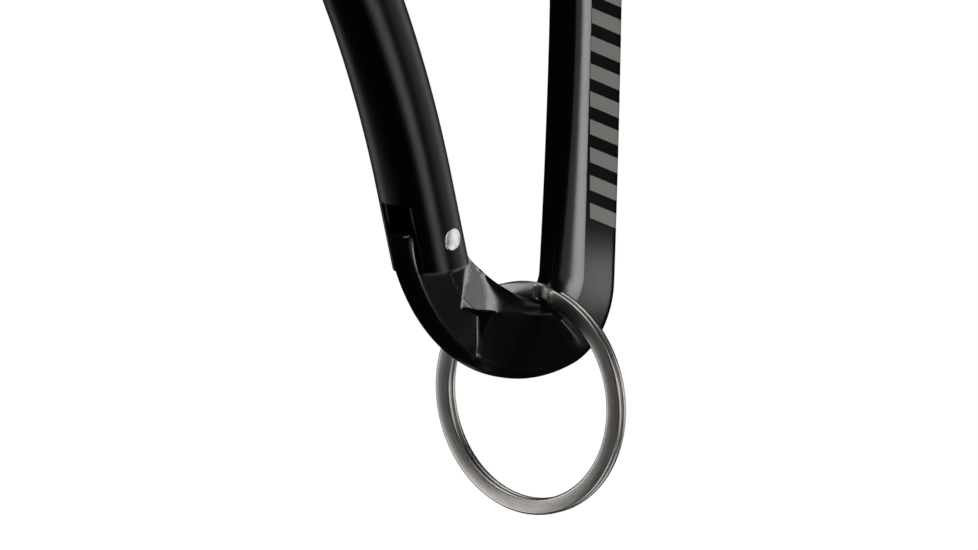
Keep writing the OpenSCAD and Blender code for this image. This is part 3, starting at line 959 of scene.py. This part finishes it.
class CARABINER_OT_pins(bpy.types.Operator):
    """Builds the hinge rivet and the latch pin"""

    bl_idname = "carabiner.pins"
    bl_label = "Pins"

    def execute(self, context):
        g = gate_line()
        steel = steel_finish("rivet_steel", tuple(sizes("finishes").rivet), 0.2, False)
        low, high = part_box("hinge_rivet")
        half = (high[1] - low[1]) / 2 / MM
        piece("hinge_rivet_peened", [pin_shell(g.hinge, 1.26, half - 0.12, 0.1)], "gate",
              "hinge_rivet", "rivet", steel)
        latch = g.end - g.latch_drop * g.top_up
        piece("latch_cross_pin", [pin_shell(latch, 1.0, half - 0.17, 0.08)], "gate",
              "latch_pin", "rivet", steel)
        return {"FINISHED"}


class CARABINER_OT_spring(bpy.types.Operator):
    """Builds the push pin and its spring inside the gate"""

    bl_idname = "carabiner.spring"
    bl_label = "Push pin and spring"

    def execute(self, context):
        g = gate_line()
        steel = steel_finish("spring_steel", (0.55, 0.55, 0.56), 0.25, False)
        wire, low, high = spring_wire(g)
        spring = piece("return_spring_coil", [wire], "gate", "return_spring", "spring", steel)
        anchor = (g.hinge + high * g.low_up) * MM
        travel = JOINTS["plunger_slide"]["range_m"][1] / MM
        (high - low - travel) / (high - low)
        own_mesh(spring)
        piece("push_pin", [push_pin_shell(g)], "plunger", "plunger", "spring", steel)
        return {"FINISHED"}


class CARABINER_OT_ring(bpy.types.Operator):
    """Builds the split ring"""

    bl_idname = "carabiner.ring"
    bl_label = "Split ring"

    def execute(self, context):
        shell, along, around = ring_wire()
        steel = steel_finish("ring_steel", tuple(sizes("finishes").steel), 0.26, True)
        piece("split_ring_wire", [shell], "ring", "split_ring", "ring", steel,
              along=along, around=around)
        return {"FINISHED"}


# ---------------------------------------------------------------- stage


def soft_box(name, toward, distance, width, height, radiance, receivers, tint=(1, 1, 1)):
    """A rectangular area light, in metres, in a direction from the middle of the object. It
    lights only the receivers."""
    middle = Vector((-0.004, 0, -0.045))
    light = bpy.data.lights.new(name, "AREA")
    light.shape, light.size, light.size_y = "RECTANGLE", width, height
    light.energy, light.color = radiance * np.pi * width * height, tint
    lamp = bpy.data.objects.new(name, light)
    way = Vector(toward).normalized()
    lamp.location = middle + way * distance
    lamp.rotation_mode = "QUATERNION"
    lamp.rotation_quaternion = (-way).to_track_quat("-Z", "Y")
    lamp.visible_camera = False
    bpy.context.scene.collection.objects.link(lamp)
    lamp.light_linking.receiver_collection = receivers


def receivers(name, *pieces):
    """A collection of the pieces that a group of lights shines on."""
    group = bpy.data.collections.new(name)
    for thing in pieces:
        group.objects.link(bpy.data.objects[thing])
    return group


def add_floor(scene, c, g):
    """A pale glowing disc under the object, seen by the camera and not by the metal."""
    a = np.linspace(0, 2 * np.pi, 96, endpoint=False)
    mesh = bpy.data.meshes.new("floor")
    ring = np.append(g.floor_r * unit(a), np.full((96, 1), -g.floor_drop), axis=1)
    mesh.from_pydata(ring * MM, [], [list(range(96))])
    floor = bpy.data.objects.new("floor", mesh)
    scene.collection.objects.link(floor)
    f = Finish("floor_paint")
    speck = f.noise(f.place(), 30.0)
    f.set(Base_Color=f.blend(speck, tuple(c.floor), tuple(1.04 * v for v in c.floor)),
          Roughness=0.9, Emission_Color=(1, 1, 1), Emission_Strength=1.0)
    mesh.materials.append(f.material)
    floor.visible_glossy = floor.visible_diffuse = False


def add_camera(scene, g):
    """A long lens that looks along the azimuth and elevation at a point beside the rivet."""
    az, el = g.view_azimuth, g.view_elevation
    back = Vector((np.sin(az) * np.cos(el), -np.cos(az) * np.cos(el), np.sin(el)))
    right = Vector((np.cos(az), np.sin(az), 0))
    shift = g.view_right * right - g.view_down * back.cross(right)
    target = Vector(JOINTS["gate_hinge"]["pos_m"]) + shift * MM
    data = bpy.data.cameras.new("camera")
    data.sensor_width = 36
    data.lens = data.sensor_width * g.view_distance / g.view_width
    data.clip_start, data.clip_end = 0.01, 50
    camera = bpy.data.objects.new("camera", data)
    camera.location = target + back * g.view_distance * MM
    camera.rotation_mode = "QUATERNION"
    camera.rotation_quaternion = back.to_track_quat("Z", "Y")
    scene.collection.objects.link(camera)
    scene.camera = camera


def add_lights():
    """Soft boxes for the frame, the gate and the steel, each group on its own pieces."""
    body = receivers("lit_frame", "frame_forging")
    gate = receivers("lit_gate", "gate_bar")
    steel = receivers("lit_steel", "split_ring_wire", "hinge_rivet_peened",
                      "latch_cross_pin", "return_spring_coil", "push_pin")
    soft_box("frame_key", (0.33, -0.94, -0.08), 0.8, 0.29, 0.4, 6.9, body)
    soft_box("frame_fill", (-0.2, -0.98, -0.1), 0.8, 0.4, 0.4, 0.5, body)
    soft_box("frame_heel", (0.0397, -0.0241, -0.0191), 0.0502, 0.006, 0.006, 3.2, body)
    soft_box("frame_top", (-0.45, -0.05, 0.89), 0.9, 0.4, 0.4, 4.0, body)
    soft_box("gate_key", (-0.05, -0.86, -0.51), 0.8, 0.26, 0.6, 2.5, gate, (1, 0.93, 0.97))
    soft_box("gate_left", (-0.1, 0.98, -0.2), 0.9, 0.4, 0.8, 0.6, gate)
    soft_box("gate_side", (-0.7, 0.7, -0.2), 0.9, 0.9, 0.8, 0.2, gate)
    soft_box("gate_right", (0.98, -0.1, -0.2), 0.9, 0.5, 0.8, 0.6, gate)
    soft_box("gate_front", (0.82, -0.55, -0.2), 0.9, 0.8, 0.8, 0.38, gate)
    soft_box("steel_left", (-0.62, 0.77, -0.17), 0.8, 0.36, 1.0, 1.3, steel)
    soft_box("steel_dim", (-1.0, 0.1, -0.1), 1.0, 1.2, 1.2, 0.07, steel)
    soft_box("steel_front", (0.0, -0.97, 0.1), 0.8, 0.6, 0.9, 1.2, steel)
    soft_box("steel_right", (0.78, -0.6, -0.2), 0.9, 0.5, 0.8, 1.1, steel)
    soft_box("steel_top", (-0.3, 0.1, 0.95), 0.8, 0.9, 0.9, 1.1, steel)
    soft_box("steel_low", (-0.3, -0.3, -0.9), 0.8, 0.7, 0.7, 0.8, steel)


def add_world(scene):
    """A white world where the camera sees it, and nearly black for everything else."""
    world = bpy.data.worlds.new("studio")
    world.use_nodes = True
    sky = world.node_tree.nodes["Background"]
    nodes = Nodes(world.node_tree)
    seen = nodes.node("ShaderNodeLightPath")["Is Camera Ray"]
    nodes.put(sky.inputs["Color"], (1, 1, 1))
    nodes.put(sky.inputs["Strength"], nodes.node("ShaderNodeMapRange", Value=seen, To_Min=0.012))
    scene.world = world


class CARABINER_OT_stage(bpy.types.Operator):
    """Sets the floor, the camera, the soft lights and the world"""

    bl_idname = "carabiner.stage"
    bl_label = "Stage"

    def execute(self, context):
        stage = sizes("stage_sizes")
        add_floor(context.scene, sizes("finishes"), stage)
        add_camera(context.scene, stage)
        add_lights()
        add_world(context.scene)
        context.scene.view_settings.view_transform = "Standard"
        return {"FINISHED"}


# ---------------------------------------------------------------- add-on


STEPS = ("frame", "gate", "pins", "spring", "ring", "stage")


class CARABINER_PT_panel(bpy.types.Panel):
    """Lists the pieces and their sizes"""

    bl_idname = "CARABINER_PT_panel"
    bl_label = "Carabiner"
    bl_space_type = "VIEW_3D"
    bl_region_type = "UI"
    bl_category = "Carabiner"

    def draw(self, context):
        for step in STEPS:
            self.layout.operator(f"carabiner.{step}")
        for group in GROUPS:
            box = self.layout.box()
            values = getattr(context.scene, group)
            for key in values.bl_rna.properties.keys():
                if key not in ("rna_type", "name"):
                    box.prop(values, key)


GROUPS = {
    "outline_sizes": OutlineSizes,
    "section_sizes": SectionSizes,
    "gate_sizes": GateSizes,
    "ring_sizes": RingSizes,
    "spring_sizes": SpringSizes,
    "finishes": Finishes,
    "stage_sizes": StageSizes,
}
CLASSES = (
    CARABINER_OT_frame, CARABINER_OT_gate, CARABINER_OT_pins, CARABINER_OT_spring,
    CARABINER_OT_ring, CARABINER_OT_stage, CARABINER_PT_panel,
)


def register():
    for cls in (*GROUPS.values(), *CLASSES):
        bpy.utils.register_class(cls)
    for name, cls in GROUPS.items():
        setattr(bpy.types.Scene, name, PointerProperty(type=cls))


def unregister():
    for name in GROUPS:
        delattr(bpy.types.Scene, name)
    for cls in reversed((*GROUPS.values(), *CLASSES)):
        bpy.utils.unregister_class(cls)


def main():
    register()
    for step in STEPS:
        getattr(bpy.ops.carabiner, step)()


if __name__ == "__main__":
    main()
